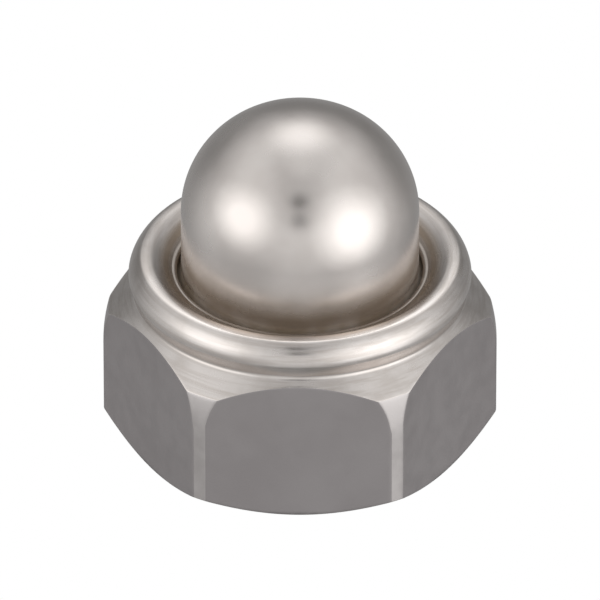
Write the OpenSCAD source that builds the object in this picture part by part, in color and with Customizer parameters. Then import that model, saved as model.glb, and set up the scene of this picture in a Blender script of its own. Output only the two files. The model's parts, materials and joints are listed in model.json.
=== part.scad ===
// Self-locking cap nut: a hexagon nut whose rolled collar holds a plastic
// locking ring and a pressed dome cap. Millimetres. The origin is the centre
// of the bearing face, +Z runs up the thread, and two flats face -Y and +Y.

/* [Thread] */
// Nominal diameter of the thread
thread_d = 8; // [4:0.25:12]
// Pitch of the thread
thread_pitch = 1.25; // [0.5:0.05:1.75]
// Height of the threaded part, from the bearing face to the ring's seat
thread_h = 4.6; // [2.5:0.1:7]
// Radius by which the countersunk mouth is wider than the thread
mouth_margin = 0.3; // [0.1:0.05:0.6]
// Full angle of the countersunk mouth
mouth_angle = 120; // [90:5:130]

/* [Hexagon] */
// Width across the flats
across_flats = 13; // [13:0.1:20]
// How far the turned corners stand back from sharp corners
corner_trim = 0.14; // [0.05:0.01:0.4]
// How far the bearing circle stands inside the flats
bearing_inset = 0.05; // [0.02:0.01:0.5]
// Angle of the chamfer under the corners
bearing_chamfer = 34; // [15:1:45]
// Angle of the chamfer above the corners
shoulder_chamfer = 43; // [20:1:45]
// Height below the collar's foot at which the corners begin to ease inwards
corner_ease_h = 2.45; // [1.2:0.05:2.8]
// Radius of the curve by which the corners ease inwards
corner_ease_r = 6; // [5:0.5:20]

/* [Collar] */
// Height of the collar, from its foot on the chamfer to its crest
collar_h = 1.43; // [1.3:0.01:2.3]
// Wall of the collar around the recess, at its belly
collar_wall = 0.96; // [0.7:0.02:1.5]
// Radius of the hollow at the collar's foot
foot_r = 0.18; // [0.05:0.01:0.25]
// Lean of the neck, inwards from the belly down to the foot
neck_lean = 18; // [5:1:30]
// Radius of the belly, the widest part of the collar
belly_r = 0.55; // [0.3:0.05:0.8]
// Angle from the vertical at which the belly passes into the roll above it
belly_turn = 72; // [62:1:82]
// Radius of the roll
roll_r = 1.34; // [1:0.02:1.5]
// Angle from the vertical at which the roll passes into the edge above it
roll_turn = 36; // [25:1:48]
// Radius of the edge between the roll and the crest
edge_r = 0.15; // [0.08:0.01:0.3]
// Angle from the vertical at which the edge passes into the crest
crest_turn = 12; // [5:1:20]
// Radius of the crest
crest_r = 0.55; // [0.4:0.01:0.7]
// Slope of the lip, from the crest down to its land
lip_slope = 36; // [20:1:42]
// Width of the flat land at the lip's end
lip_land = 0.13; // [0.05:0.01:0.3]
// Radius of the lip's nose, between its land and its end face
nose_r = 0.06; // [0.04:0.01:0.15]
// Height of the crest above the flange that the lip holds down
lip_rise = 0.97; // [0.93:0.01:1.2]
// Gap between the lip's nose and the dome
lip_gap = 0.28; // [0.1:0.01:0.4]

/* [Locking ring] */
// Height of the ring
ring_h = 1.4; // [0.8:0.1:4]
// How far the ring's bore stands inside the thread's nominal diameter
ring_bite = 0.35; // [0.1:0.05:0.5]
// Width of the small chamfer on the ring's edges
ring_edge = 0.12; // [0.04:0.02:0.3]
// Clearance between the recess and what sits in it
seat_clearance = 0.03; // [0.01:0.01:0.1]

/* [Dome cap] */
// Height of the whole nut, to the top of the dome
total_h = 13.4; // [11.2:0.1:20]
// Thickness of the cap's sheet
sheet = 0.4; // [0.2:0.05:0.6]
// Clearance between the thread's nominal diameter and the cap's inside
screw_clearance = 0.04; // [0.02:0.01:0.3]
// Width of the flange, from the dome's outside to the recess wall
flange_w = 1.02; // [0.8:0.01:1.3]
// Radius of the bend between the dome and the flange
bend_r = 0.4; // [0.2:0.01:0.45]
// Distance from the axis at which the dome's shoulder is centred
shoulder_offset = 0.38; // [0.2:0.02:0.7]
// How much larger the crown's radius is than the shoulder's
crown_extra = 0.8; // [0.8:0.05:1.5]

/* [Hidden] */
$fn = 96;

// How far a cutting shape runs past the face that it cuts
overcut = 1;
// Wall of the core that joins the collar to the body around the recess
core_wall = 0.5;
// Largest turn between two points of an arc in an outline
arc_step = 3;

// Thread and its mouth
minor_per_pitch = 1.0825;
thread_minor_r = (thread_d - minor_per_pitch * thread_pitch) / 2;
mouth_r = thread_d / 2 + mouth_margin;
mouth_cone_h = mouth_r / tan(mouth_angle / 2);

// Radii, from the screw's clearance in the dome outwards to the collar
dome_inner_r = thread_d / 2 + screw_clearance;
dome_r = dome_inner_r + sheet;
recess_r = dome_r + flange_w;
seated_r = recess_r - seat_clearance;
collar_r = recess_r + collar_wall;
ring_bore_r = thread_d / 2 - ring_bite;

// Levels, stacked upwards from the bearing face
ring_z = thread_h;
flange_z = ring_z + ring_h;
lip_z = flange_z + sheet;
collar_top_z = lip_z + lip_rise;
foot_z = collar_top_z - collar_h;

// Hexagon
flat_r = across_flats / 2;
sharp_r = flat_r / cos(30);
corner_r = sharp_r - corner_trim;
bearing_r = flat_r - bearing_inset;
corner_bottom_z = (corner_r - bearing_r) * tan(bearing_chamfer);
corner_ease_z = foot_z - corner_ease_h;

// A direction, turned outwards from straight up, and the points of an arc
function direction(angle) = [sin(angle), cos(angle)];
function arc(centre, r, from, to) =
    let (steps = ceil(abs(to - from) / arc_step))
    [for (i = [0:steps]) centre + r * direction(from + (to - from) * i / steps)];

// Crest, edge, roll and belly of the collar, each tangent to the next
crest_z = collar_top_z - crest_r;
edge_z = crest_z + (crest_r - edge_r) * cos(crest_turn);
roll_z = edge_z - (roll_r - edge_r) * cos(roll_turn);
belly_z = roll_z + (roll_r - belly_r) * cos(belly_turn);
belly_centre = [collar_r - belly_r, belly_z];
roll_centre = belly_centre - (roll_r - belly_r) * direction(belly_turn);
edge_centre = roll_centre + (roll_r - edge_r) * direction(roll_turn);
crest_centre = edge_centre - (crest_r - edge_r) * direction(crest_turn);

// Neck, from the belly's end down to the foot on the chamfer
belly_end = belly_centre + belly_r * direction(90 + neck_lean);
foot = [belly_end[0] - (belly_end[1] - foot_z) * tan(neck_lean), foot_z];

// Hollow at the foot, tangent to the neck and to the chamfer
neck_normal = direction(90 + neck_lean);
chamfer_normal = direction(shoulder_chamfer);
foot_centre = foot
    + foot_r / (1 + neck_normal * chamfer_normal) * (neck_normal + chamfer_normal);
foot_end = foot_centre - foot_r * neck_normal;

// Where the easing curve of the corners meets the chamfer: the point of its circle that
// lies on the chamfer's line
ease_centre = [corner_r - corner_ease_r, corner_ease_z];
ease_end = shoulder_chamfer + acos((foot - ease_centre) * chamfer_normal / corner_ease_r);

// Slope, land and nose of the lip
crest_end = crest_centre + crest_r * direction(-lip_slope);
nose_centre_r = dome_r + lip_gap + nose_r;
land_r = nose_centre_r + lip_land;
land_z = crest_end[1] - (crest_end[0] - land_r) * tan(lip_slope);
nose_centre = [nose_centre_r, land_z - nose_r];
nose_end = nose_centre + nose_r * direction(-90 - lip_slope);
lip_foot = [nose_end[0] + (nose_end[1] - lip_z) * tan(lip_slope), lip_z];

// Dome: a shoulder arc and a larger crown arc that meet tangentially
shoulder_r = dome_r - shoulder_offset;
crown_r = shoulder_r + crown_extra;
crown_angle = asin(shoulder_offset / crown_extra);
crown_centre = [0, total_h - crown_r];
shoulder_centre = crown_centre + crown_extra * direction(crown_angle);

// Bend between the dome and the flange: both of its faces share one centre
bend_centre = [dome_r + bend_r, lip_z + bend_r];

// Outline that the hexagon is turned to, up to the top of the collar's foot
function hexagon_outline() = concat(
    [[0, 0], [bearing_r, 0], [corner_r, corner_bottom_z]],
    arc(ease_centre, corner_ease_r, 90, ease_end),
    arc(foot_centre, foot_r, 180 + shoulder_chamfer, 270 + neck_lean),
    [[0, foot_end[1]]]);

// Half section of the rolled collar and of the core below it, which stays inside the flats
function collar_outline() = concat(
    [[0, ring_z], [recess_r + core_wall, ring_z], [recess_r + core_wall, foot_end[1]]],
    [foot_end],
    arc(belly_centre, belly_r, 90 + neck_lean, belly_turn),
    arc(roll_centre, roll_r, belly_turn, roll_turn),
    arc(edge_centre, edge_r, roll_turn, crest_turn),
    arc(crest_centre, crest_r, crest_turn, -lip_slope),
    [[land_r, land_z]],
    arc(nose_centre, nose_r, 0, -90 - lip_slope),
    [lip_foot, [0, lip_z]]);

// Half section of the cap, up the outside of the sheet and down the inside
function cap_outline() = concat(
    [[seated_r, flange_z], [seated_r, lip_z]],
    arc(bend_centre, bend_r, 180, 270),
    arc(shoulder_centre, shoulder_r, 90, crown_angle),
    arc(crown_centre, crown_r, crown_angle, 0),
    arc(crown_centre, crown_r - sheet, 0, crown_angle),
    arc(shoulder_centre, shoulder_r - sheet, crown_angle, 90),
    arc(bend_centre, bend_r + sheet, 270, 180));

// Half section of the ring, with a small chamfer on each edge
function ring_outline() = [
    [ring_bore_r, ring_z + ring_edge],
    [ring_bore_r + ring_edge, ring_z],
    [seated_r - ring_edge, ring_z],
    [seated_r, ring_z + ring_edge],
    [seated_r, flange_z - ring_edge],
    [seated_r - ring_edge, flange_z],
    [ring_bore_r + ring_edge, flange_z],
    [ring_bore_r, flange_z - ring_edge]];

module nut_body() {
    color([0.53, 0.51, 0.5])
    difference() {
        union() {
            intersection() {
                cylinder(r = sharp_r, h = collar_top_z, $fn = 6);
                rotate_extrude() polygon(hexagon_outline());
            }
            rotate_extrude() polygon(collar_outline());
        }
        translate([0, 0, ring_z]) cylinder(r = recess_r, h = lip_z - ring_z);
        translate([0, 0, -overcut]) cylinder(r = thread_minor_r, h = ring_z + 2 * overcut);
        cylinder(r1 = mouth_r, r2 = 0, h = mouth_cone_h);
    }
}

module locking_ring() {
    color([0.93, 0.92, 0.86])
    rotate_extrude() polygon(ring_outline());
}

module dome_cap() {
    color([0.8, 0.79, 0.78])
    rotate_extrude() polygon(cap_outline());
}

nut_body();
locking_ring();
dome_cap();
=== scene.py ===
# %% [markdown]
# A locking cap nut is three pieces that leave the factory as one: a hexagon nut with a collar,
# a plastic ring that grips the screw, and a pressed dome that covers the screw's end. The
# collar is rolled inwards over the dome's flange, and after that nothing comes apart.
# This lesson builds each piece as a turned outline, gives the steel its different finishes,
# and lights it in a small studio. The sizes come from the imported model, so the lesson starts
# by loading it.

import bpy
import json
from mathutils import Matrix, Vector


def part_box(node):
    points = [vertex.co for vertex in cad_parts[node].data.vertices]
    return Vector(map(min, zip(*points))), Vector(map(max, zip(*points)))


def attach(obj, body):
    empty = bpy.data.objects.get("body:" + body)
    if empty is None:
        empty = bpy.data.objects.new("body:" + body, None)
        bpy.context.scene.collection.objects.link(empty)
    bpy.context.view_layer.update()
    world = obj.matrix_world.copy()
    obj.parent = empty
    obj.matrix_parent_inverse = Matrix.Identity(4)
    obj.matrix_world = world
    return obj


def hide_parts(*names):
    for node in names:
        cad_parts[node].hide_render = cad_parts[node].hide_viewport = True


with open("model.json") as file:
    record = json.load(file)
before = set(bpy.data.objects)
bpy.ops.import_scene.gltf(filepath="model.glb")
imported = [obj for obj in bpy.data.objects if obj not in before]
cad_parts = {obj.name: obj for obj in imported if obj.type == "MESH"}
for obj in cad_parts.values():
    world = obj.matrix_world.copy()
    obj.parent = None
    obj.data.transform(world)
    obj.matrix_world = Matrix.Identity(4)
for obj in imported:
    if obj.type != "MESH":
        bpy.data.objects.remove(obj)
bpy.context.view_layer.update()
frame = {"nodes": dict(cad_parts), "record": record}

# %% The other tools that the lesson uses
import json
import math

import bmesh
import bpy
import numpy as np
from mathutils import Vector

# %% [markdown]
# Small turned parts are easier to think of in millimetres, so the outlines are drawn in
# millimetres and scaled to metres when a mesh is made. The main radii and levels are measured
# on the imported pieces: the corners, the flats, the collar, the dome and the seats between them.
# The belly is the widest part of the collar and lies in the top 1.1 mm of the body. It is drawn
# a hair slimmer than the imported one, because its outline has one arc more.

# %% Measure the pieces
MM = 0.001
BELLY_REACH = 1.1
BELLY_TRIM = 0.02


def measure(node):
    """A piece's lowest and highest corners, in millimetres."""
    low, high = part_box(node)
    return low / MM, high / MM


def widest(node, low, high):
    """The largest radius of a piece between two heights, in millimetres."""
    points = np.array([v.co for v in frame["nodes"][node].data.vertices]) / MM
    inside = (points[:, 2] >= low) & (points[:, 2] <= high)
    return float(np.hypot(points[inside, 0], points[inside, 1]).max())


body_high = measure("nut_body")[1]
ring_low, ring_high = measure("locking_ring")
cap_high = measure("dome_cap")[1]

corner_r = float(body_high.x)
flat_r = float(body_high.y)
collar_top = float(body_high.z)
ring_floor = float(ring_low.z)
ring_top = float(ring_high.z)
seated_r = float(cap_high.x)
dome_top = float(cap_high.z)
collar_r = widest("nut_body", collar_top - BELLY_REACH, collar_top) - BELLY_TRIM
dome_r = widest("dome_cap", collar_top, dome_top)
bore = next(m for m in frame["record"]["mounts"] if m["name"] == "thread")
thread_minor = bore["dims"]["r_mm"]
print("from the axis, in mm: corners", round(corner_r, 2), "flats", round(flat_r, 2),
      "collar", round(collar_r, 2), "dome", round(dome_r, 2))

# %% [markdown]
# Every outline below is a list of points (radius, height), and most of it is arcs. One helper
# draws them all: it walks round a centre from one direction to another, where a direction of
# 0 degrees is straight up and 90 degrees is outwards.

# %% Arcs and short straight runs


def arc(centre, radius, start, stop, steps):
    """Points on an arc, from one direction to another, in degrees from straight up."""
    turns = np.radians(np.linspace(start, stop, steps + 1))
    return [(centre[0] + radius * math.sin(t), centre[1] + radius * math.cos(t)) for t in turns]


def run(start, stop, steps):
    """Points on a straight line, without its first point."""
    shares = [(i + 1) / steps for i in range(steps)]
    return [(start[0] + (stop[0] - start[0]) * s, start[1] + (stop[1] - start[1]) * s)
            for s in shares]


print("a quarter arc of radius 1 has", len(arc((0, 0), 1, 0, 90, 4)), "points in four steps")

# %% [markdown]
# A turned shape is a grid of columns: each column is the outline at one angle round the axis.
# The Screw modifier turns an outline as well, but into the same shape all the way round, and
# the hexagon needs a different outline from column to column. So the mesh maker takes an array
# of columns. Neighbouring columns are joined by quads, points that fall together are welded,
# and only real edges stay sharp in the shading.

# %% Make a mesh from columns
MICRON = 1e-6
WELD = 0.2 * MICRON
SHARP = math.radians(38)


def quads(columns, closed_round, closed_along, offset=0):
    """Faces between the points of a grid of columns, numbered column by column."""
    wide, tall = columns.shape[:2]
    faces = []
    for i in range(wide if closed_round else wide - 1):
        here, there = offset + i * tall, offset + (i + 1) % wide * tall
        for j in range(tall if closed_along else tall - 1):
            k = (j + 1) % tall
            faces.append((here + j, there + j, there + k, here + k))
    return faces


def around(outline, angles):
    """Columns of a plain turned piece: the same outline at every angle."""
    outline = np.array(outline)
    columns = np.zeros((len(angles), len(outline), 3))
    columns[:, :, 0] = np.cos(angles)[:, None] * outline[:, 0]
    columns[:, :, 1] = np.sin(angles)[:, None] * outline[:, 0]
    columns[:, :, 2] = outline[:, 1]
    return columns


def make_piece(name, points, faces, materials, face_finish=None):
    """A welded, smooth mesh object from points in millimetres."""
    mesh = bpy.data.meshes.new(name)
    mesh.from_pydata((np.asarray(points) * MM).tolist(), [], faces)
    for material in materials:
        mesh.materials.append(material)
    if face_finish is not None:
        mesh.polygons.foreach_set("material_index", face_finish)
    work = bmesh.new()
    work.from_mesh(mesh)
    bmesh.ops.remove_doubles(work, verts=work.verts, dist=WELD)
    loose = [edge for edge in work.edges if not edge.link_faces]
    bmesh.ops.delete(work, geom=loose, context="EDGES")
    bmesh.ops.recalc_face_normals(work, faces=work.faces)
    open_edges = sum(1 for edge in work.edges if len(edge.link_faces) != 2)
    work.to_mesh(mesh)
    work.free()
    mesh.shade_smooth()
    mesh.set_sharp_from_angle(angle=SHARP)
    piece = bpy.data.objects.new(name, mesh)
    bpy.context.scene.collection.objects.link(piece)
    triangles = sum(len(p.vertices) - 2 for p in mesh.polygons)
    print(name, "has", triangles, "triangles and", open_edges, "open edges")
    return piece


print("points within", round(WELD / MICRON, 2), "microns of each other are welded")

# %% [markdown]
# ## Finishes
# The whole nut is one kind of stainless steel, and only the surface differs: the dome is
# polished to a satin, the collar and the chamfers are turned, and the flats of the hexagon
# keep the dull skin of pressing and tumbling. Each finish is the same metal shader with its own
# roughness, colour drift and relief. The helpers put noise into the shader in two ways: in
# plain space for clouds and pits, and wound round the axis for the marks of a lathe. Noise
# seldom leaves its middle, so it is spread from there over the whole range that it steers.

# %% Node helpers
WOUND_DRIFT = 1 / 12
NOISE_LOW = 0.3
NOISE_HIGH = 0.7
NOISE_ROUGHNESS = 0.55


class Finish:
    """A material under construction, with short calls for the nodes that the finishes share."""

    def __init__(self, name):
        self.material = bpy.data.materials.new(name)
        self.material.use_nodes = True
        self.tree = self.material.node_tree
        self.shader = self.tree.nodes["Principled BSDF"]
        self.place = self.add("ShaderNodeTexCoord").outputs["Object"]
        self.paint = None
        self.mirror = 1.0

    def add(self, kind, **values):
        """A new node, with its settings."""
        node = self.tree.nodes.new(kind)
        for key, value in values.items():
            setattr(node, key, value)
        return node

    def link(self, source, target):
        self.tree.links.new(source, target)

    def maths(self, operation, first, second=0.0):
        """Arithmetic on one or two values, each a number or another node's output."""
        node = self.add("ShaderNodeMath", operation=operation)
        for socket, value in zip(node.inputs, (first, second)):
            if isinstance(value, (int, float)):
                socket.default_value = value
            else:
                self.link(value, socket)
        return node.outputs[0]

    def noise(self, size_mm, detail, where=None):
        """Noise whose grains are about size_mm across."""
        node = self.add("ShaderNodeTexNoise")
        node.inputs["Scale"].default_value = 1 / (size_mm * MM)
        node.inputs["Detail"].default_value = detail
        node.inputs["Roughness"].default_value = NOISE_ROUGHNESS
        self.link(where or self.place, node.inputs["Vector"])
        return node.outputs["Fac"]

    def ramp(self, value, low, high, out_low=0.0, out_high=1.0):
        """A smooth step from one range of numbers to another."""
        node = self.add("ShaderNodeMapRange", interpolation_type="SMOOTHSTEP")
        self.link(value, node.inputs["Value"])
        for key, number in (("From Min", low), ("From Max", high),
                            ("To Min", out_low), ("To Max", out_high)):
            node.inputs[key].default_value = number
        return node.outputs["Result"]

    def spread(self, noise, out_low=0.0, out_high=1.0):
        """Noise spread from its usual range to another."""
        return self.ramp(noise, NOISE_LOW, NOISE_HIGH, out_low, out_high)

    def between(self, distance, low, high, out_low=0.0, out_high=1.0):
        """A smooth step along a distance, between two places given in millimetres."""
        return self.ramp(distance, low * MM, high * MM, out_low, out_high)

    def along(self, axis):
        """Distance along one axis, in metres."""
        parts = self.add("ShaderNodeSeparateXYZ")
        self.link(self.place, parts.inputs[0])
        return parts.outputs[axis]

    def turned_place(self):
        """Distance from the axis, height, and a slow drift with the angle, all in metres."""
        parts = self.add("ShaderNodeSeparateXYZ")
        self.link(self.place, parts.inputs[0])
        x, y, z = parts.outputs
        radius = self.maths("SQRT", self.maths("ADD", self.maths("MULTIPLY", x, x),
                                               self.maths("MULTIPLY", y, y)))
        drift = self.maths("MULTIPLY", self.maths("ADD", x, y), WOUND_DRIFT)
        return radius, z, drift

    def wound(self):
        """Coordinates wound round the axis, in which noise becomes rings."""
        joined = self.add("ShaderNodeCombineXYZ")
        for value, socket in zip(self.turned_place(), joined.inputs):
            self.link(value, socket)
        return joined.outputs[0]

    def colour(self, mask, dark, light):
        """The shader's colour, from dark to light by a mask."""
        node = self.add("ShaderNodeMix", data_type="RGBA")
        self.link(mask, node.inputs["Factor"])
        node.inputs["A"].default_value = (*dark, 1.0)
        node.inputs["B"].default_value = (*light, 1.0)
        self.paint = node.outputs["Result"]
        self.link(self.paint, self.shader.inputs["Base Color"])

    def stain(self, mask, tint):
        """A film over the colour so far, which it multiplies by the tint where the mask is 1; it
        paints shade and highlights.
        """
        node = self.add("ShaderNodeMix", data_type="RGBA", blend_type="MULTIPLY")
        self.link(mask, node.inputs["Factor"])
        self.link(self.paint, node.inputs["A"])
        node.inputs["B"].default_value = (*tint, 1.0)
        self.paint = node.outputs["Result"]
        self.link(self.paint, self.shader.inputs["Base Color"])

    def film(self, mask, tint, bare):
        """Painted shade and painted light: a film that tints the colour and leaves a share of the
        mirror bare.
        """
        self.stain(mask, tint)
        left = self.maths("SUBTRACT", 1.0, self.maths("MULTIPLY", mask, 1 - bare))
        self.mirror = self.maths("MULTIPLY", self.mirror, left)
        self.link(self.mirror, self.shader.inputs["Metallic"])

    def relief(self, *layers):
        """Bumps stacked on each other, each a height from 0 to 1 and its depth in microns."""
        normal = None
        for height, microns in layers:
            bump = self.add("ShaderNodeBump")
            bump.inputs["Strength"].default_value = 1.0
            bump.inputs["Distance"].default_value = microns * MICRON
            self.link(height, bump.inputs["Height"])
            if normal is not None:
                self.link(normal, bump.inputs["Normal"])
            normal = bump.outputs["Normal"]
        self.link(normal, self.shader.inputs["Normal"])

    def roughness(self, mask, low, high):
        """How dull the surface is, from low to high by a mask of noise."""
        self.link(self.spread(mask, low, high), self.shader.inputs["Roughness"])

    def metal(self):
        """Bare metal all over."""
        self.shader.inputs["Metallic"].default_value = 1.0


print("noise is spread from", NOISE_LOW, "to", NOISE_HIGH)

# %% [markdown]
# ### The dome's satin polish
# A buffing wheel reaches the round of the dome, so it is a clean satin with soft clouds where the
# wheel pressed more or less. Towards the gap round it, the colour gets a painted brown shade, and
# at its foot a pale painted light lightens the dark gap. All this could be painted by hand, but
# masks by height go evenly round the axis and need no unwrapped surface. Each painted film also
# hides some of the bare metal, so it takes a share of the mirror away.

# %% Satin polish
PAINTED_SHADE_STARTS = collar_top + 1.9
PAINTED_SHADE_IS_FULL = collar_top - 0.7
BROWN_PAINTED_SHADE = (0.38, 0.32, 0.25)
PAINTED_LIGHT_STARTS = collar_top - 0.3
PAINTED_LIGHT_IS_FULL = collar_top - 0.55
PALE_PAINTED_LIGHT = (1.5, 1.5, 1.5)


def polished_dome():
    """Satin polish on pressed sheet: soft clouds, a faint waviness and hardly any grain."""
    f = Finish("polished_dome")
    f.metal()
    clouds = f.noise(2.6, detail=3)
    f.colour(f.spread(clouds), (0.61, 0.568, 0.540), (0.675, 0.634, 0.606))
    height = f.turned_place()[1]
    # Painted brown shade, which darkens and dulls the dome towards the gap round it.
    painted_shade = f.between(height, PAINTED_SHADE_IS_FULL, PAINTED_SHADE_STARTS, 1.0, 0.0)
    patchy = f.ramp(f.noise(1.5, detail=3), 0.25, 0.6, 0.7, 1.0)
    f.film(f.maths("MULTIPLY", painted_shade, patchy), BROWN_PAINTED_SHADE, bare=0.6)
    # Painted light: a pale film at the dome's foot lightens the dark gap round it.
    painted_light = f.between(height, PAINTED_LIGHT_IS_FULL, PAINTED_LIGHT_STARTS, 1.0, 0.0)
    f.film(painted_light, PALE_PAINTED_LIGHT, bare=0.4)
    f.roughness(clouds, 0.22, 0.28)
    f.relief((f.noise(0.9, detail=2), 1.2), (f.noise(0.035, detail=2), 0.3))
    return f.material


steel_dome = polished_dome()
print("the dome begins to brown", round(PAINTED_SHADE_STARTS - collar_top, 2), "mm above the collar")

# %% [markdown]
# ### Turned steel
# The collar, the chamfers and the bearing face come from the lathe. Its tool leaves fine rings
# round the axis, so the noise is wound: it varies with the radius and the height and hardly
# with the angle. Anisotropic gloss would give the same streaks more cheaply, but it shows no
# single ring close by. The slope inside the collar gets a painted brown shade, least on the lip's
# ridge, and the crest gets a painted highlight on the side that faces the viewer.

# %% Turned steel
SLOPE_STARTS = dome_r + 0.95
SLOPE_IS_SHADED = dome_r + 0.55
RIDGE_ENDS = dome_r + 0.52
RIDGE_TOP = dome_r + 0.36
RIDGE_SHADE = 0.4
LIP_LOW = collar_top - 1.0
LIP_HIGH = collar_top - 0.8
THIN_BROWN_SHADE = (0.60, 0.52, 0.43)
CREST_STARTS = collar_top - 0.07
CREST_HIGHLIGHT_IS_FULL = collar_top - 0.015
CREST_HIGHLIGHT_SIDE = 1.5
CREST_PAINTED_HIGHLIGHT = (1.55, 1.55, 1.55)


def turned_steel():
    """Turned steel: fine rings round the axis, a little tarnish and a soft shine."""
    f = Finish("turned_steel")
    f.metal()
    fine_rings = f.noise(0.03, detail=2, where=f.wound())
    wide_rings = f.noise(0.16, detail=3, where=f.wound())
    clouds = f.noise(1.3, detail=4)
    tarnish = f.maths("MULTIPLY", f.ramp(wide_rings, 0.32, 0.62), f.ramp(clouds, 0.2, 0.6))
    f.colour(tarnish, (0.555, 0.512, 0.480), (0.655, 0.616, 0.590))
    radius, height, _ = f.turned_place()
    # Painted brown shade on the slope inside the collar, round the dome, least on the lip's ridge.
    on_slope = f.between(radius, SLOPE_IS_SHADED, SLOPE_STARTS, 1.0, 0.0)
    off_ridge = f.between(radius, RIDGE_TOP, RIDGE_ENDS, RIDGE_SHADE, 1.0)
    on_lip = f.between(height, LIP_LOW, LIP_HIGH)
    painted_shade = f.maths("MULTIPLY", f.maths("MULTIPLY", on_slope, off_ridge), on_lip)
    f.film(painted_shade, THIN_BROWN_SHADE, bare=0.6)
    # Painted highlight: the crest is lightened on the side that faces the viewer.
    on_crest = f.between(height, CREST_STARTS, CREST_HIGHLIGHT_IS_FULL)
    highlight_side = f.between(f.along("Y"), -CREST_HIGHLIGHT_SIDE, CREST_HIGHLIGHT_SIDE, 1.0, 0.0)
    f.stain(f.maths("MULTIPLY", on_crest, highlight_side), CREST_PAINTED_HIGHLIGHT)
    f.roughness(clouds, 0.20, 0.28)
    f.relief((fine_rings, 0.7), (wide_rings, 1.6), (f.noise(0.5, detail=3), 0.8))
    return f.material


steel_turned = turned_steel()
# What this print calls oil is the painted brown shade.
print("oil lies on", round(SLOPE_STARTS - dome_r, 2), "mm of the slope round the dome")

# %% [markdown]
# ### Tumbled flats
# The flats keep the skin that pressing left on the blank, dulled by tumbling in a drum with
# other nuts. It is darker and much rougher than turned steel, with pits too small to see one by
# one and a slow drift in tone. Scratches drawn as lines would look ruled, so clouds of two sizes
# do it. Painted shade darkens the lower edge, for the contact shadow and the grazing bevel.

# %% Tumbled flats
EDGE_SHADE_ENDS = 0.22
EDGE_SHADE_IS_FULL = 0.05
EDGE_SHADE = (0.70, 0.70, 0.70)


def tumbled_flats():
    """The dull skin of the pressed flats: grey and finely pitted, with painted shade at the lower
    edge.
    """
    f = Finish("tumbled_flats")
    f.metal()
    blotches = f.noise(0.7, detail=4)
    drift = f.noise(3.5, detail=2)
    tone = f.maths("ADD", f.maths("MULTIPLY", blotches, 0.35), f.maths("MULTIPLY", drift, 0.65))
    f.colour(f.spread(tone), (0.332, 0.310, 0.310), (0.367, 0.345, 0.345))
    # Painted shade: the lower edge darkens, broken up by noise.
    at_edge = f.between(f.along("Z"), EDGE_SHADE_IS_FULL, EDGE_SHADE_ENDS, 1.0, 0.0)
    broken_up = f.ramp(f.noise(0.35, detail=3), 0.35, 0.6, 0.35, 1.0)
    f.stain(f.maths("MULTIPLY", at_edge, broken_up), EDGE_SHADE)
    f.roughness(blotches, 0.50, 0.60)
    f.relief((f.noise(0.6, detail=3), 2.0), (f.noise(0.05, detail=3), 1.6))
    return f.material


steel_flats = tumbled_flats()
# What this print calls grime is the painted shade.
print("grime reaches", EDGE_SHADE_ENDS, "mm up the flats")

# %% [markdown]
# ### Rubbed corners
# In the drum the corners meet each other first, so they are smoother and a little brighter than
# the flats between them. They are a material of their own and not a mask on the flats, because
# the mesh has an edge exactly where one passes into the other. The corners on the right get a
# painted highlight low down.

# %% Rubbed corners
HIGHLIGHT_BELOW = 3.9
NO_HIGHLIGHT_ABOVE = 4.7
CORNER_HIGHLIGHT_SIDE = 2.0
CORNER_PAINTED_HIGHLIGHT = (1.16, 1.16, 1.16)


def rubbed_corners():
    """Corners rubbed smooth where nuts tumble together, with a painted highlight low on the right.
    """
    f = Finish("rubbed_corners")
    f.metal()
    clouds = f.noise(0.8, detail=3)
    f.colour(f.spread(clouds), (0.46, 0.433, 0.425), (0.51, 0.483, 0.473))
    # Painted highlight on the right-hand corners, low down.
    highlight_side = f.between(f.along("X"), -CORNER_HIGHLIGHT_SIDE, CORNER_HIGHLIGHT_SIDE)
    low_down = f.between(f.along("Z"), HIGHLIGHT_BELOW, NO_HIGHLIGHT_ABOVE, 1.0, 0.0)
    f.stain(f.maths("MULTIPLY", highlight_side, low_down), CORNER_PAINTED_HIGHLIGHT)
    f.roughness(clouds, 0.34, 0.42)
    f.relief((f.noise(0.5, detail=2), 1.4), (f.noise(0.05, detail=2), 0.6))
    return f.material


steel_corners = rubbed_corners()
# What this print calls rubbing is the painted highlight.
print("the corners are rubbed most below", HIGHLIGHT_BELOW, "mm")

# %% [markdown]
# ### Cut thread
# A tap cuts the thread and leaves bright flanks with fine marks that run round the hole. Cutting
# oil dries on them in patches. Wound noise gives the marks, as on the collar, and plain clouds
# give the patches.

# %% Cut thread


def cut_thread():
    """Cut thread: bright flanks with fine tool marks, and darker patches of dried oil."""
    f = Finish("cut_thread")
    f.metal()
    rings = f.noise(0.03, detail=2, where=f.wound())
    stain = f.noise(0.9, detail=4)
    f.colour(f.spread(stain), (0.44, 0.41, 0.38), (0.60, 0.57, 0.54))
    f.roughness(stain, 0.28, 0.40)
    f.relief((rings, 1.5), (stain, 2.0))
    return f.material


steel_thread = cut_thread()
print("five steels are ready")

# %% [markdown]
# ### White nylon
# The ring is the only piece that isn't steel. Moulded nylon is milky: light goes a little way
# in and comes out beside where it entered, which a plain white paint wouldn't do, so the shader
# scatters it below the surface.

# %% White nylon


def white_nylon():
    """Moulded nylon: milky, faintly yellow, with light passing a little way into it."""
    f = Finish("white_nylon")
    clouds = f.noise(1.1, detail=3)
    f.colour(f.spread(clouds), (0.80, 0.78, 0.70), (0.87, 0.86, 0.80))
    f.roughness(clouds, 0.42, 0.52)
    f.shader.inputs["Subsurface Weight"].default_value = 0.25
    f.shader.inputs["Subsurface Radius"].default_value = (0.9, 0.8, 0.6)
    f.shader.inputs["Subsurface Scale"].default_value = 0.4 * MM
    f.relief((f.noise(0.25, detail=3), 2.0))
    return f.material


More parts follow.
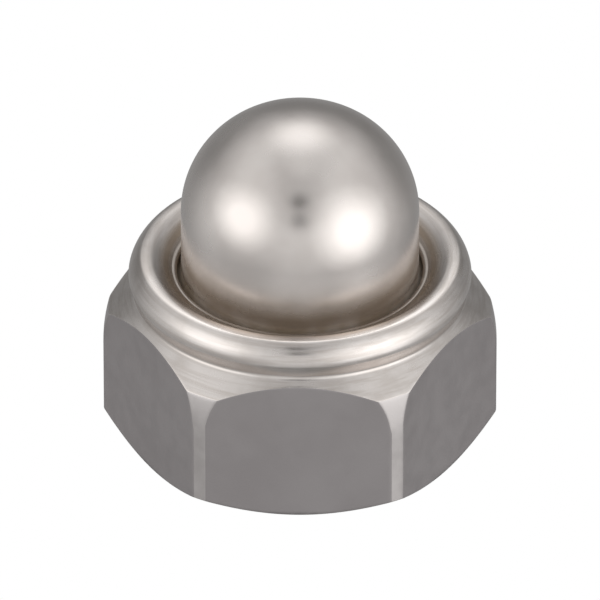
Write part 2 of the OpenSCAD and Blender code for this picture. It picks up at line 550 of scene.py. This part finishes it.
nylon = white_nylon()
print("with the nylon there are", len(bpy.data.materials), "materials in the file")

# %% [markdown]
# ## The dome cap
# The cap is pressed from thin sheet: a round crown over a slightly tighter shoulder, an upright
# wall, and a flat flange bent out at its foot. The flange sits under the collar's lip, so only
# the dome shows. One skin with a Solidify modifier would have a thickness too, but both faces
# of the flange have to meet their neighbours, so both are drawn. The outline goes up the outside
# and back down the inside, a sheet's thickness apart, which makes a closed shell with a real
# hollow for the screw's end.

# %% Outline of the cap
sheet = 0.4
bend_r = 0.4
shoulder_offset = 0.38
crown_extra = 0.8

dome_shoulder_r = dome_r - shoulder_offset
crown_r = dome_shoulder_r + crown_extra
crown_turn = math.degrees(math.asin(shoulder_offset / crown_extra))
crown_centre = (0.0, dome_top - crown_r)
shoulder_centre = (shoulder_offset,
                   crown_centre[1] + crown_extra * math.cos(math.radians(crown_turn)))
flange_top = ring_top + sheet
bend_centre = (dome_r + bend_r, flange_top + bend_r)

cap_outline = (
    [(seated_r, ring_top), (seated_r, flange_top)]
    + arc(bend_centre, bend_r, 180, 270, 6)
    + arc(shoulder_centre, dome_shoulder_r, 90, crown_turn, 40)
    + arc(crown_centre, crown_r, crown_turn, 0, 20)[1:]
    + arc(crown_centre, crown_r - sheet, 0, crown_turn, 12)
    + arc(shoulder_centre, dome_shoulder_r - sheet, crown_turn, 90, 24)[1:]
    + arc(bend_centre, bend_r + sheet, 270, 180, 8))
print("the cap's outline has", len(cap_outline), "points")

# %% Turn the cap
CAP_COLUMNS = 256

cap_angles = np.linspace(0, 2 * math.pi, CAP_COLUMNS, endpoint=False)
cap_columns = around(cap_outline, cap_angles)
dome_cap = make_piece("dome_cap_steel", cap_columns.reshape(-1, 3),
                      quads(cap_columns, True, True), [steel_dome])

# %% [markdown]
# ## The locking ring
# The ring is moulded from white nylon. It has no thread: the screw presses its own way through,
# and the squeezed plastic holds it. It lies hidden between the nut and the cap's flange, and
# shows only to someone who looks up the thread. Its edges are rounded, as a mould leaves them.
# A tube with a Bevel modifier would do, but the helpers for an outline are already here.

# %% Outline of the ring
ring_edge = 0.12
ring_bore = min(math.hypot(v.co.x, v.co.y) for v in frame["nodes"]["locking_ring"].data.vertices)
ring_bore_r = ring_bore / MM
ring_inner, ring_outer = ring_bore_r + ring_edge, seated_r - ring_edge

ring_outline = (
    arc((ring_inner, ring_floor + ring_edge), ring_edge, 270, 180, 4)
    + arc((ring_outer, ring_floor + ring_edge), ring_edge, 180, 90, 4)
    + arc((ring_outer, ring_top - ring_edge), ring_edge, 90, 0, 4)
    + arc((ring_inner, ring_top - ring_edge), ring_edge, 0, -90, 4))
print("the ring's bore is", round(ring_bore_r, 2), "mm from the axis")

# %% Turn the ring
RING_COLUMNS = 192

ring_angles = np.linspace(0, 2 * math.pi, RING_COLUMNS, endpoint=False)
ring_columns = around(ring_outline, ring_angles)
locking_ring = make_piece("locking_ring_nylon", ring_columns.reshape(-1, 3),
                          quads(ring_columns, True, True), [nylon])

# %% [markdown]
# ## The collar
# The collar stands straight when the nut is turned. A roller then folds it in over the cap's
# flange, which squeezes it into a bead: a belly over a leaning neck, a long flank, the roll
# above it, a tight edge and the crest. A curve with handles could be pulled into this shape, but
# a chain of arcs gives each part a radius that can be measured and changed. The arcs pass
# smoothly into one another, so two neighbouring centres always lie on one line with the point
# where their arcs meet. The heights follow from that, from the crest down to the belly, and then
# the distances from the axis, from the belly back up to the crest.

# %% Crest, roll, flank and belly
crest_r = 0.7
crest_turn = 12
edge_r = 0.15
roll_turn = 36
roll_r = 1.05
flank_turn = 63
flank_r = 1.1
belly_turn = 80
belly_r = 0.5
neck_lean = 18


def beside(centre, distance, angle):
    """The point at a distance from a centre, in a direction in degrees from straight up."""
    return arc(centre, distance, angle, angle, 1)[0]


edge_z = beside((0, collar_top - crest_r), crest_r - edge_r, crest_turn)[1]
roll_z = beside((0, edge_z), edge_r - roll_r, roll_turn)[1]
flank_z = beside((0, roll_z), roll_r - flank_r, flank_turn)[1]
belly_z = beside((0, flank_z), flank_r - belly_r, belly_turn)[1]
belly_centre = (collar_r - belly_r, belly_z)
flank_centre = beside(belly_centre, belly_r - flank_r, belly_turn)
roll_centre = beside(flank_centre, flank_r - roll_r, flank_turn)
edge_centre = beside(roll_centre, roll_r - edge_r, roll_turn)
crest_centre = beside(edge_centre, edge_r - crest_r, crest_turn)
belly_arc = arc(belly_centre, belly_r, 90 + neck_lean, belly_turn, 10)
flank_arc = arc(flank_centre, flank_r, belly_turn, flank_turn, 8)
roll_arc = arc(roll_centre, roll_r, flank_turn, roll_turn, 10)
edge_arc = arc(edge_centre, edge_r, roll_turn, crest_turn, 6)
print("the belly is widest at", round(belly_z, 2), "mm up")

# %% [markdown]
# The neck runs down to the foot, where it meets the chamfer of the nut in a small hollow. The
# hollow's centre is as far from the neck as from the chamfer, so it is found from the two
# directions that stand square to them.

# %% Neck and foot
collar_h = 1.43
foot_r = 0.18
shoulder_chamfer = 43

foot_z = collar_top - collar_h
foot_x = belly_arc[0][0] - (belly_arc[0][1] - foot_z) * math.tan(math.radians(neck_lean))
square_neck = np.array(beside((0, 0), 1, 90 + neck_lean))
square_chamfer = np.array(beside((0, 0), 1, shoulder_chamfer))
foot_reach = foot_r / (1 + square_neck @ square_chamfer)
foot_centre = np.array((foot_x, foot_z)) + foot_reach * (square_neck + square_chamfer)
foot_arc = arc(foot_centre, foot_r, 270 + neck_lean, 180 + shoulder_chamfer, 8)
print("the foot is", round(foot_x, 2), "mm from the axis and", round(foot_z, 2), "mm up")

# %% [markdown]
# From the crest the lip slopes down to the dome and ends in a small rounded ridge, which stands
# a little proud of the slope and catches the light as a thin bright ring. A plain sharp edge
# would show as nothing but a dark line. Under the ridge the lip falls back to the flange that it
# holds down, and the recess below is a plain cylinder.

# %% Slope and ridge of the lip
lip_slope = 33
under_slope = 50
ridge_r = 0.15
ridge_rise = 0.07
lip_gap = 0.14

slope_fall = math.tan(math.radians(lip_slope))
slope_lean = math.cos(math.radians(lip_slope))
crest_arc = arc(crest_centre, crest_r, crest_turn, -lip_slope, 14)
ridge_x = dome_r + lip_gap + ridge_r
slope_z = crest_arc[-1][1] - (crest_arc[-1][0] - ridge_x) * slope_fall
ridge_centre = (ridge_x, slope_z - ridge_r / slope_lean + ridge_rise)
meets_slope = math.degrees(math.acos(1 - ridge_rise * slope_lean / ridge_r)) - lip_slope
ridge_arc = arc(ridge_centre, ridge_r, meets_slope, -90 - under_slope, 16)
under_fall = math.tan(math.radians(under_slope))
lip_foot = (ridge_arc[-1][0] + (ridge_arc[-1][1] - flange_top) * under_fall, flange_top)
print("the lip leaves", lip_gap, "mm round the dome, and its ridge is",
      round(ridge_centre[1] + ridge_r, 2), "mm up")

# %% The whole outline of the collar, from its foot to the recess floor
seat_clearance = 0.03
recess_r = seated_r + seat_clearance

collar_outline = (
    run(foot_arc[0], belly_arc[0], 3)[:-1] + belly_arc + flank_arc[1:] + roll_arc[1:]
    + edge_arc[1:] + crest_arc[1:]
    + run(crest_arc[-1], ridge_arc[0], 5)[:-1]
    + ridge_arc
    + run(ridge_arc[-1], lip_foot, 2)
    + run(lip_foot, (recess_r, flange_top), 1)
    + run((recess_r, flange_top), (recess_r, ring_floor), 2))
print("the collar's outline has", len(collar_outline), "points")

# %% [markdown]
# ## The hexagon
# A nut starts as a hexagonal blank and is then turned, which cuts its corners back to a cone
# above and below. Where a flat meets a cone, the edge is the curved line that every nut shows.
# To get it, each column takes the smaller of two radii: the turned outline at that height, and
# the hexagon at that angle. A smooth minimum does this and rounds the edge a little, as
# tumbling does. A Boolean modifier could cut a prism with two cones, but it leaves knife edges
# and long thin faces that shade badly.

# %% Radius of the hexagon and of the turned corners
SECTOR = 60
HALF_SECTOR = 30
bearing_inset = 0.05
bearing_chamfer = 34
corner_ease_h = 2.45
corner_ease_r = 6.0
edge_soft = 0.035
HEIGHT_SAMPLES = 8000

bearing_slope = math.tan(math.radians(bearing_chamfer))
shoulder_slope = math.tan(math.radians(shoulder_chamfer))
foot_end_x = foot_arc[0][0]
chamfer_top = foot_arc[-1][1]
ease_centre = (corner_r - corner_ease_r, foot_z - corner_ease_h)
bearing_r = flat_r - bearing_inset


def soft_min(a, b, softness):
    """The smaller of two numbers, with the crossing rounded over the given width."""
    share = np.clip(0.5 + 0.5 * (b - a) / softness, 0, 1)
    return b + (a - b) * share - softness * share * (1 - share)


def hexagon(angles):
    """Distance from the axis to the hexagon's flats at each angle; two flats face -Y and +Y."""
    turn = np.degrees(angles) % SECTOR - HALF_SECTOR
    return flat_r / np.cos(np.radians(turn))


def chamfer(z):
    """Radius of the cone above the corners, at each height."""
    return foot_x - (z - foot_z) / shoulder_slope


def eased(z):
    """Radius of the corners themselves, which ease inwards towards the cone."""
    rise = np.clip((z - ease_centre[1]) / corner_ease_r, 0, 1)
    return ease_centre[0] + corner_ease_r * np.sqrt(1 - rise ** 2)


def turned(z):
    """Radius to which the hexagon is turned, at each height."""
    below = bearing_r + np.maximum(z, 0) / bearing_slope
    radius = soft_min(soft_min(eased(z), chamfer(z), edge_soft), below, edge_soft)
    drop = np.clip((z - foot_centre[1]) / foot_r, -1, 1)
    hollow = foot_centre[0] - foot_r * np.sqrt(1 - drop ** 2)
    return np.where(z > chamfer_top, hollow, radius)


heights = np.linspace(chamfer_top, 0, HEIGHT_SAMPLES)
turned_heights = turned(heights)
shoulder_z = float(heights[np.argmax(chamfer(heights) >= eased(heights))])
shoulder_r = float(turned(shoulder_z))
print("the corners reach", round(float(turned_heights.max()), 3), "mm, and their shoulders are",
      round(shoulder_z, 2), "mm up")

# %% [markdown]
# The columns stand closer together near the corners, where the narrow turned strips need them.
# In each column, three heights matter: where the flat ends above, where the corner's shoulder
# is, and where the flat ends below. The rows run exactly through them and crowd towards them,
# so that every edge is a clean line of the mesh.

# %% Angles of the columns
SECTOR_COLUMNS = 72
CROWDING = 0.3

step = np.linspace(-1, 1, SECTOR_COLUMNS, endpoint=False)
in_sector = HALF_SECTOR * ((1 + CROWDING) * step - CROWDING * step ** 3)
sectors = range(360 // SECTOR)
angles = np.radians(np.concatenate([in_sector + SECTOR * k + HALF_SECTOR for k in sectors]))
limit = soft_min(hexagon(angles), np.full(len(angles), corner_r), edge_soft)
print("the hexagon has", len(angles), "columns, which reach from", round(float(limit.min()), 3),
      "to", round(float(limit.max()), 3), "mm")

# %% Heights of the rows
CHAMFER_ROWS, SHOULDER_ROWS, FLAT_ROWS, BEARING_ROWS = 10, 12, 14, 8
ROW_CROWDING = 0.96
JUST_UNDER = 1e-4

widest_row = int(np.argmax(turned_heights))


def crowded(start, stop, rows):
    """Heights from start towards stop, crowded at both ends; stop itself is left out."""
    share = np.arange(rows) / rows
    share = share - ROW_CROWDING * np.sin(2 * math.pi * share) / (2 * math.pi)
    return start + (stop - start) * share


def column_heights(reach):
    """Row heights of one column, from the collar's foot down to the bearing face."""
    reach = min(reach, turned_heights[widest_row] - JUST_UNDER)
    upper = heights[np.argmax(turned_heights >= reach)]
    lower = heights[widest_row:][np.argmax(turned_heights[widest_row:] <= reach)]
    first, second = max(upper, shoulder_z), min(upper, shoulder_z)
    return np.concatenate([
        [z for _, z in foot_arc[:-1]],
        crowded(chamfer_top, first, CHAMFER_ROWS),
        crowded(first, second, SHOULDER_ROWS),
        crowded(second, lower, FLAT_ROWS),
        crowded(lower, 0, BEARING_ROWS),
        [0]])


hex_z = np.array([column_heights(r) for r in limit])
hex_r = soft_min(turned(hex_z), limit[:, None], edge_soft)
hex_r[:, 0] = foot_end_x
hex_r[:, -1] = bearing_r
print("each of them has", hex_z.shape[1], "points")

# %% [markdown]
# ## The thread
# A bump could stand for the thread from afar, but the hole's rim would stay a plain circle, so
# the thread is real geometry. An ISO thread has flanks at 60 degrees, a flat a quarter of the
# pitch wide at the crest, and one half as wide at the root. The rows of this part climb with the
# helix, one pitch for each turn, so crests and roots are clean lines. Rows that would pass the
# recess floor or the bearing face are held at it, and welding removes what falls together. The
# countersunk mouth is a cone, and wherever the cone is wider than the thread, it wins.

# %% Radius of the thread and its mouth
pitch = 1.25
mouth_margin = 0.3
mouth_half_angle = 60
crest_flat = 1 / 8
root_start = 7 / 16
depth_per_pitch = 0.5413
thread_soft = 0.03

flank_depth = depth_per_pitch * pitch
thread_major = thread_minor + flank_depth
mouth_r = round(thread_major + mouth_margin, 2)
mouth_fall = math.tan(math.radians(mouth_half_angle))


def thread_radius(angle, z):
    """Radius of the threaded wall at an angle and a height, with the mouth cut into it."""
    phase = np.mod(z / pitch - angle / (2 * math.pi), 1)
    from_crest = np.minimum(phase, 1 - phase)
    share = np.clip((from_crest - crest_flat) / (root_start - crest_flat), 0, 1)
    groove = thread_minor + flank_depth * share
    cone = mouth_r - z * mouth_fall
    return -soft_min(-groove, -cone, thread_soft)


print("the thread is", round(flank_depth, 2), "mm deep, and its mouth is cut to", mouth_r, "mm")

# %% Columns of the thread
ROWS_PER_PITCH = 16

strip_angles = np.append(angles, angles[0] + 2 * math.pi)
row_count = int(math.ceil((ring_floor / pitch + 1) * ROWS_PER_PITCH)) + 1
row_step = pitch / ROWS_PER_PITCH
climb = (strip_angles - strip_angles[0]) / (2 * math.pi) * pitch
strip_z = climb[:, None] - pitch + row_step * np.arange(row_count + 1)[None, :]
strip_z = np.clip(strip_z, 0, ring_floor)
strip_r = thread_radius(strip_angles[:, None], strip_z)
strip_points = np.stack([np.cos(strip_angles)[:, None] * strip_r,
                         np.sin(strip_angles)[:, None] * strip_r, strip_z], axis=2)
print("the thread has", round(ring_floor / pitch, 2), "turns")

# %% [markdown]
# The body is the hexagon, the collar, the recess floor and the bearing face in one grid, and
# the threaded wall in a second. They share their border points, so the weld closes the body.

# %% Join the body
collar_columns = around(collar_outline, angles)
hex_columns = np.stack([np.cos(angles)[:, None] * hex_r,
                        np.sin(angles)[:, None] * hex_r, hex_z], axis=2)[:, ::-1]


def ring_of(radius, z):
    """One point for each column, at a radius and a height."""
    return np.stack([np.cos(angles) * radius, np.sin(angles) * radius,
                     np.full(len(angles), float(z))], axis=1)[:, None]


seat_edge = ring_of(thread_radius(angles, np.full(len(angles), ring_floor)), ring_floor)
mouth_edge = ring_of(mouth_r, 0)
bearing_mid = ring_of((mouth_r + bearing_r) / 2, 0)
body_columns = np.concatenate([mouth_edge, bearing_mid, hex_columns, collar_columns, seat_edge],
                              axis=1)
body_count = body_columns.shape[0] * body_columns.shape[1]
body_faces = quads(body_columns, True, False)
strip_faces = quads(strip_points, False, False, offset=body_count)
print("the body has", len(body_faces), "faces outside and", len(strip_faces), "in the thread")

# %% [markdown]
# Each face is given its finish by where it lies: the threaded wall, the flats, the rubbed
# corners between them, or the turned rest. Because the rows run through the edges, whole
# stretches of a column share a finish. The body could be cut into one object for each finish,
# but it is one piece of steel, so it stays one closed mesh with four materials.

# %% Choose each face's finish
TURNED, FLATS, CORNERS, THREAD = range(4)
# The bearing face's two rows, to its middle and to its rim, come first in each column.
FACE_ROWS = 2

flat_start = FACE_ROWS + BEARING_ROWS
shoulder_start = flat_start + FLAT_ROWS
chamfer_start = shoulder_start + SHOULDER_ROWS
finish = np.full(len(body_faces) + len(strip_faces), TURNED, dtype=np.int32)
grid = finish[:len(body_faces)].reshape(len(angles), body_columns.shape[1] - 1)
on_flat = hexagon(angles) < corner_r
grid[:, flat_start:shoulder_start] = np.where(on_flat, FLATS, CORNERS)[:, None]
above_shoulder = hexagon(angles) < shoulder_r
grid[:, shoulder_start:chamfer_start] = np.where(above_shoulder, FLATS, CORNERS)[:, None]
finish[len(body_faces):] = THREAD
body_points = np.concatenate([body_columns.reshape(-1, 3), strip_points.reshape(-1, 3)])
nut_body = make_piece("nut_body_steel", body_points, body_faces + strip_faces,
                      [steel_turned, steel_flats, steel_corners, steel_thread], finish)

# %% [markdown]
# Each piece takes the place of its packed one and rides on the nut's only body.

# %% Put the pieces in the frame
for piece, node, slot in ((nut_body, "nut_body", "body_steel"),
                          (locking_ring, "locking_ring", "ring_nylon"),
                          (dome_cap, "dome_cap", "cap_steel")):
    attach(piece, "root")
    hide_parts(node)
    print(piece.name, "stands for", node)

# %% [markdown]
# ## The studio
# Polished metal has no colour of its own to speak of: it shows the room. The room here is a
# white tent over a pale table, with a soft box at each side and one above and behind. The tent
# is the world's colour by direction, and the boxes are area lights. Directions are given as an
# azimuth and an elevation, seen from the nut. The viewer looks down at it, and stands a shade
# to the right of square to the front flat.

# %% Directions


def toward(azimuth, elevation):
    """A direction from the nut: azimuth 0 is towards the viewer's side, 90 to the right."""
    a, e = math.radians(azimuth), math.radians(elevation)
    return Vector((math.sin(a) * math.cos(e), -math.cos(a) * math.cos(e), math.sin(e)))


VIEW_AZIMUTH = 0.75
VIEW_ELEVATION = 33
view_direction = toward(VIEW_AZIMUTH, VIEW_ELEVATION)
print("the viewer is towards", [round(part, 3) for part in view_direction])

# %% [markdown]
# The cloth of the tent isn't evenly bright, and the nut shows it: each side of the dome and each
# turn of the collar mirrors one part of the room. So the tent has three ramps from straight down
# to straight up, one for the front, one for both sides and one for the dimmer back, and the
# direction mixes them. A picture of a real studio would do the same, but ramps can be tuned one
# by one. Two small dark openings, one over the other, are where the lens looks in, and the large
# soft one low in front stands for the nut's own shade on the table.

# %% Tones of the tent
# Each pair is an elevation in degrees and the tent's brightness there.
FRONT_TONES = ((-90, 0.50), (-35, 0.67), (-15, 0.79), (8, 0.88), (30, 0.78), (55, 0.64),
               (75, 0.66), (90, 0.86))
SIDE_TONES = ((-90, 0.42), (-30, 0.56), (-8, 0.74), (10, 0.80), (30, 0.80), (50, 0.90), (65, 0.89),
              (90, 0.86))
BACK_TONES = ((-90, 0.33), (-20, 0.34), (0, 0.27), (15, 0.29), (30, 0.53), (45, 0.76), (62, 0.93),
              (90, 0.86))
# Each dark opening has its elevation, its half angle, the softness of its edge, and its tone.
OPENINGS = ((-64, 18, 8, 0.32), (29, 7, 2, 0.04), (49, 7, 2, 0.04))
# How far from the tent's middle its sides begin and are full, and the same for its back.
SIDE_BEGINS, SIDE_IS_FULL = 0.15, 0.55
BACK_BEGINS, BACK_IS_FULL = 0.0, 0.8
print("the tent is mixed from", len(FRONT_TONES) + len(SIDE_TONES) + len(BACK_TONES), "tones")

# %% Nodes for the tent


def tone_ramp(tree, height, tones):
    """Brightness by elevation, from a list of pairs."""
    ramp = tree.nodes.new("ShaderNodeValToRGB")
    tree.links.new(height, ramp.inputs["Fac"])
    stops = ramp.color_ramp.elements
    while len(stops) < len(tones):
        stops.new(0.5)
    for stop, (elevation, tone) in zip(stops, tones):
        stop.position = (math.sin(math.radians(elevation)) + 1) / 2
        stop.color = (tone, tone, tone, 1)
    return ramp.outputs["Color"]


def mix_tones(tree, factor, first, second):
    """One tone that passes into another by a factor; a plain number stands for a grey."""
    mix = tree.nodes.new("ShaderNodeMix")
    mix.data_type = "RGBA"
    for socket, value in (("Factor", factor), ("A", first), ("B", second)):
        if isinstance(value, float):
            mix.inputs[socket].default_value = (value, value, value, 1)
        else:
            tree.links.new(value, mix.inputs[socket])
    return mix.outputs["Result"]


def soft_step(tree, value, low, high):
    """A smooth step from 0 to 1 between two numbers."""
    step_node = tree.nodes.new("ShaderNodeMapRange")
    step_node.interpolation_type = "SMOOTHSTEP"
    step_node.inputs["From Min"].default_value = low
    step_node.inputs["From Max"].default_value = high
    tree.links.new(value, step_node.inputs["Value"])
    return step_node.outputs["Result"]


# %% The tent


def make_tent():
    """World light by direction: the three ramps, with the dark openings over them."""
    world = bpy.data.worlds.new("tent")
    bpy.context.scene.world = world
    world.use_nodes = True
    tree = world.node_tree
    direction = tree.nodes.new("ShaderNodeTexCoord").outputs["Generated"]
    parts = tree.nodes.new("ShaderNodeSeparateXYZ")
    tree.links.new(direction, parts.inputs[0])

    lift = tree.nodes.new("ShaderNodeMapRange")
    lift.inputs["From Min"].default_value = -1.0
    tree.links.new(parts.outputs["Z"], lift.inputs["Value"])
    front, side, back = [tone_ramp(tree, lift.outputs["Result"], tones)
                         for tones in (FRONT_TONES, SIDE_TONES, BACK_TONES)]
    across = tree.nodes.new("ShaderNodeMath")
    across.operation = "ABSOLUTE"
    tree.links.new(parts.outputs["X"], across.inputs[0])
    backness = soft_step(tree, parts.outputs["Y"], BACK_BEGINS, BACK_IS_FULL)
    sideness = soft_step(tree, across.outputs[0], SIDE_BEGINS, SIDE_IS_FULL)
    tone = mix_tones(tree, sideness, front, side)
    tone = mix_tones(tree, backness, tone, back)

    for elevation, half_angle, softness, shade in OPENINGS:
        dot = tree.nodes.new("ShaderNodeVectorMath")
        dot.operation = "DOT_PRODUCT"
        tree.links.new(direction, dot.inputs[0])
        dot.inputs[1].default_value = toward(0, elevation)
        spot = soft_step(tree, dot.outputs["Value"],
                         math.cos(math.radians(half_angle + softness)),
                         math.cos(math.radians(half_angle - softness)))
        tone = mix_tones(tree, spot, tone, shade)

    camera_ray = tree.nodes.new("ShaderNodeLightPath").outputs["Is Camera Ray"]
    tone = mix_tones(tree, camera_ray, tone, 1.0)
    tree.links.new(tone, tree.nodes["Background"].inputs["Color"])


make_tent()
print("the tent has", len(OPENINGS), "dark openings")

# %% [markdown]
# A soft box is brightest in its middle and fades to its rim, because the lamp sits behind the
# middle of its cloth. One area light would be even up to a hard rim, so three oval ones do it,
# each wider and a little farther off than the one before, and their light adds up.

# %% The soft boxes
BOX_DISTANCE = 0.42
CLOTH_GAP = 0.005
# Each layer has its name, its share of the light, and its reach as a share of the box.
LAYERS = (("core", 0.4, 0.6), ("cloth", 0.35, 0.9), ("rim", 0.25, 1.2))


def soft_box(name, azimuth, elevation, half_width, half_height, brightness):
    """Nested oval lights that face the nut; sizes are half angles as the nut sees them."""
    direction = toward(azimuth, elevation)
    for layer, (part, share, reach) in enumerate(LAYERS):
        distance = BOX_DISTANCE + layer * CLOTH_GAP
        light = bpy.data.lights.new(f"{name}_{part}", "AREA")
        light.shape = "ELLIPSE"
        light.size = 2 * distance * math.tan(math.radians(half_width * reach))
        light.size_y = 2 * distance * math.tan(math.radians(half_height * reach))
        light.energy = brightness * share * math.pi * light.size * light.size_y
        lamp = bpy.data.objects.new(light.name, light)
        lamp.location = direction * distance
        lamp.rotation_euler = direction.to_track_quat("Z", "Y").to_euler()
        bpy.context.scene.collection.objects.link(lamp)
        print(lamp.name, "gives", round(light.energy, 3), "W")


soft_box("left_box", -60, 17, 29, 25, 0.74)
soft_box("right_box", 53, 8, 33, 34, 0.84)
soft_box("top_box", 180, 58, 18, 20, 0.52)

# %% [markdown]
# The table is a wide white sheet under the bearing face. It glows evenly, so it is plain white
# with no shadow, as on a light table, and from below it is clear, so the underside can be seen.

# %% The table
TABLE_SIZE = 6.0


def make_table():
    """A plain white sheet that shows from above only."""
    mesh = bpy.data.meshes.new("table")
    half = TABLE_SIZE / 2
    corners = [(-half, -half, 0), (half, -half, 0), (half, half, 0), (-half, half, 0)]
    mesh.from_pydata(corners, [], [(0, 1, 2, 3)])
    material = bpy.data.materials.new("white_table")
    material.use_nodes = True
    tree = material.node_tree
    tree.nodes.remove(tree.nodes["Principled BSDF"])
    glow = tree.nodes.new("ShaderNodeEmission")
    clear = tree.nodes.new("ShaderNodeBsdfTransparent")
    mix = tree.nodes.new("ShaderNodeMixShader")
    tree.links.new(tree.nodes.new("ShaderNodeNewGeometry").outputs["Backfacing"],
                   mix.inputs["Fac"])
    tree.links.new(glow.outputs[0], mix.inputs[1])
    tree.links.new(clear.outputs[0], mix.inputs[2])
    tree.links.new(mix.outputs[0], tree.nodes["Material Output"].inputs["Surface"])
    mesh.materials.append(material)
    table = bpy.data.objects.new("table", mesh)
    bpy.context.scene.collection.objects.link(table)
    table.visible_diffuse = False
    table.visible_glossy = False
    table.visible_shadow = False
    return table


table = make_table()
print("the table is", TABLE_SIZE, "m wide")

# %% [markdown]
# ## The camera
# A long lens from some way off keeps the nut's sides nearly parallel, as in a catalogue
# picture. An orthographic camera would make them quite parallel, which no real lens does. The
# camera stands where the viewer does and looks at a point on the nut's axis. Its distance
# follows from the lens and from how many millimetres the frame is wide at the nut.

# %% The camera
LENS = 960
FRAME_WIDTH = 22.41
AIM_HEIGHT = 5.34
CLIP_NEAR, CLIP_FAR = 0.01, 10

camera_data = bpy.data.cameras.new("camera")
camera_data.lens = LENS
camera = bpy.data.objects.new("camera", camera_data)
distance = FRAME_WIDTH * MM * LENS / camera_data.sensor_width
camera.location = Vector((0, 0, AIM_HEIGHT * MM)) + view_direction * distance
camera.rotation_euler = view_direction.to_track_quat("Z", "Y").to_euler()
camera_data.clip_start = CLIP_NEAR
camera_data.clip_end = CLIP_FAR
bpy.context.scene.collection.objects.link(camera)
bpy.context.scene.camera = camera
bpy.context.scene.view_settings.view_transform = "Standard"
print("the camera stands", round(distance, 3), "m away")
